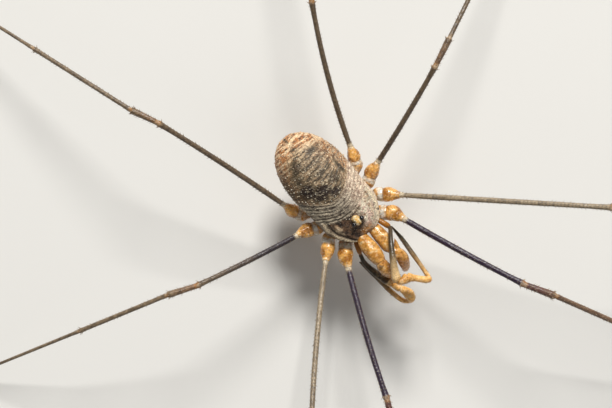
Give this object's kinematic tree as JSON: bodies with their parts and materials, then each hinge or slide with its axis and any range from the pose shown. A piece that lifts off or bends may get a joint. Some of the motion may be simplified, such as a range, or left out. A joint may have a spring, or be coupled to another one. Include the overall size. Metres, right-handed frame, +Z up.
{
  "type": "harvestman",
  "caption": "Life-size museum model of a male harvestman with an oval body, amber jaws, folded palps and very long thin legs, standing on its feet.",
  "frame": {"origin": "on the floor, under the middle of the leg span", "axes": "+Z up; the animal faces -Y; its left side is at +X"},
  "size_m": [0.0906, 0.0754, 0.0092],
  "materials": {
    "abdomen": "mottled brown granular cuticle with pale dots and fine streaks",
    "carapace": "cream and brown mottled cuticle with a pale margin",
    "eye": "glossy black",
    "jaw": "smooth shiny amber orange",
    "palp": "satin olive brown turning amber at the joints",
    "hip": "amber orange with a whitish band",
    "leg": "satin dark brown with pale rings at the joints and short spines"
  },
  "bodies": {
    "root": {"chelicera_left_base": "jaw", "chelicera_left_hand": "jaw", "chelicera_right_base": "jaw", "chelicera_right_hand": "jaw", "eye_left": "eye", "eye_right": "eye", "leg_left_1_coxa": "hip", "leg_left_1_femur": "leg", "leg_left_1_foot": "leg", "leg_left_1_patella": "leg", "leg_left_1_tibia": "leg", "leg_left_2_coxa": "hip", "leg_left_2_femur": "leg", "leg_left_2_foot": "leg", "leg_left_2_patella": "leg", "leg_left_2_tibia": "leg", "leg_left_3_coxa": "hip", "leg_left_3_femur": "leg", "leg_left_3_foot": "leg", "leg_left_3_patella": "leg", "leg_left_3_tibia": "leg", "leg_left_4_coxa": "hip", "leg_left_4_femur": "leg", "leg_left_4_foot": "leg", "leg_left_4_patella": "leg", "leg_left_4_tibia": "leg", "leg_right_1_coxa": "hip", "leg_right_1_femur": "leg", "leg_right_1_foot": "leg", "leg_right_1_patella": "leg", "leg_right_1_tibia": "leg", "leg_right_2_coxa": "hip", "leg_right_2_femur": "leg", "leg_right_2_foot": "leg", "leg_right_2_patella": "leg", "leg_right_2_tibia": "leg", "leg_right_3_coxa": "hip", "leg_right_3_femur": "leg", "leg_right_3_foot": "leg", "leg_right_3_patella": "leg", "leg_right_3_tibia": "leg", "leg_right_4_coxa": "hip", "leg_right_4_femur": "leg", "leg_right_4_foot": "leg", "leg_right_4_patella": "leg", "leg_right_4_tibia": "leg", "opisthosoma": "abdomen", "palp_left_femur": "palp", "palp_left_tarsus": "palp", "palp_left_tibia": "palp", "palp_right_femur": "palp", "palp_right_tarsus": "palp", "palp_right_tibia": "palp", "prosoma": "carapace"}
  },
  "joints": []
}
